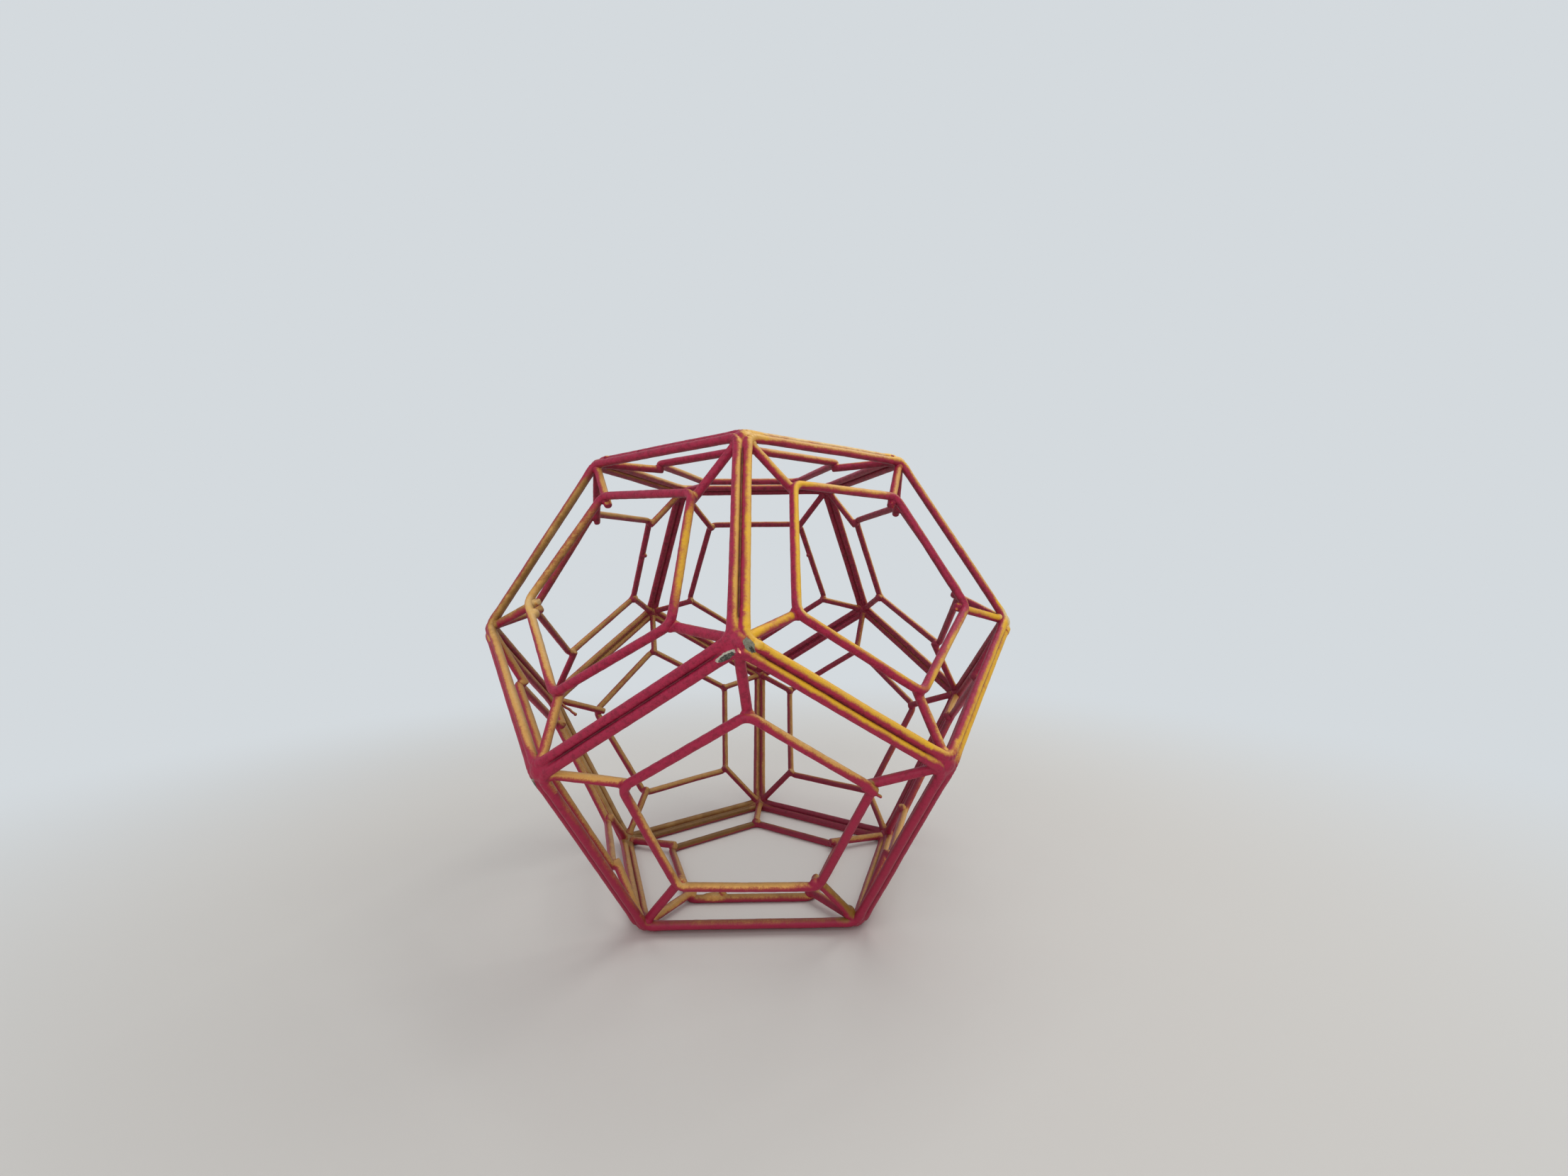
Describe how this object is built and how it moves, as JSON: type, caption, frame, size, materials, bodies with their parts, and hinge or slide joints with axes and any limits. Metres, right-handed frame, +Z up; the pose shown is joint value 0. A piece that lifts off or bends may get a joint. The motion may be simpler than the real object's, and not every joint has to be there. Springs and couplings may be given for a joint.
{
  "type": "wire sculpture",
  "caption": "Free-standing hollow dodecahedron of welded painted wire, each face a flat panel with a rim, a smaller inner loop and spokes.",
  "frame": {"origin": "under the middle of the cage, on the surface that the bottom panel's rim stands on", "axes": "+Z up, the front looks along -Y, where one corner of the upper ring points at the viewer, +X to the right"},
  "size_m": [0.1982, 0.208, 0.1701],
  "materials": {
    "painted_rim": "satin magenta with gold sprayed from above and the right",
    "painted_loop": "satin magenta with gold sprayed from above and the right",
    "painted_spoke": "satin magenta with gold sprayed from above and the right",
    "painted_weld": "satin magenta over weld metal, chipped in places",
    "filler_wire": "satin, thin paint over thin wire"
  },
  "bodies": {
    "root": {"rim_top": "painted_rim", "rim_upper_front_left": "painted_rim", "rim_upper_front_right": "painted_rim", "rim_upper_right": "painted_rim", "rim_upper_back": "painted_rim", "rim_upper_left": "painted_rim", "rim_lower_front": "painted_rim", "rim_lower_right": "painted_rim", "rim_lower_back_right": "painted_rim", "rim_lower_back_left": "painted_rim", "rim_lower_left": "painted_rim", "rim_bottom": "painted_rim", "inner_loop_top": "painted_loop", "inner_loop_upper_front_left": "painted_loop", "inner_loop_upper_front_right": "painted_loop", "inner_loop_upper_right": "painted_loop", "inner_loop_upper_back": "painted_loop", "inner_loop_upper_left": "painted_loop", "inner_loop_lower_front": "painted_loop", "inner_loop_lower_right": "painted_loop", "inner_loop_lower_back_right": "painted_loop", "inner_loop_lower_back_left": "painted_loop", "inner_loop_lower_left": "painted_loop", "inner_loop_bottom": "painted_loop", "spokes_top": "painted_spoke", "spokes_upper_front_left": "painted_spoke", "spokes_upper_front_right": "painted_spoke", "spokes_upper_right": "painted_spoke", "spokes_upper_back": "painted_spoke", "spokes_upper_left": "painted_spoke", "spokes_lower_front": "painted_spoke", "spokes_lower_right": "painted_spoke", "spokes_lower_back_right": "painted_spoke", "spokes_lower_back_left": "painted_spoke", "spokes_lower_left": "painted_spoke", "spokes_bottom": "painted_spoke", "weld_top_front": "painted_weld", "weld_top_right": "painted_weld", "weld_top_back_right": "painted_weld", "weld_top_back_left": "painted_weld", "weld_top_left": "painted_weld", "weld_upper_front": "painted_weld", "weld_upper_right": "painted_weld", "weld_upper_back_right": "painted_weld", "weld_upper_back_left": "painted_weld", "weld_upper_left": "painted_weld", "weld_lower_front_left": "painted_weld", "weld_lower_front_right": "painted_weld", "weld_lower_right": "painted_weld", "weld_lower_back": "painted_weld", "weld_lower_left": "painted_weld", "weld_bottom_front_left": "painted_weld", "weld_bottom_front_right": "painted_weld", "weld_bottom_right": "painted_weld", "weld_bottom_back": "painted_weld", "weld_bottom_left": "painted_weld", "weld_whisker": "filler_wire"}
  },
  "joints": []
}
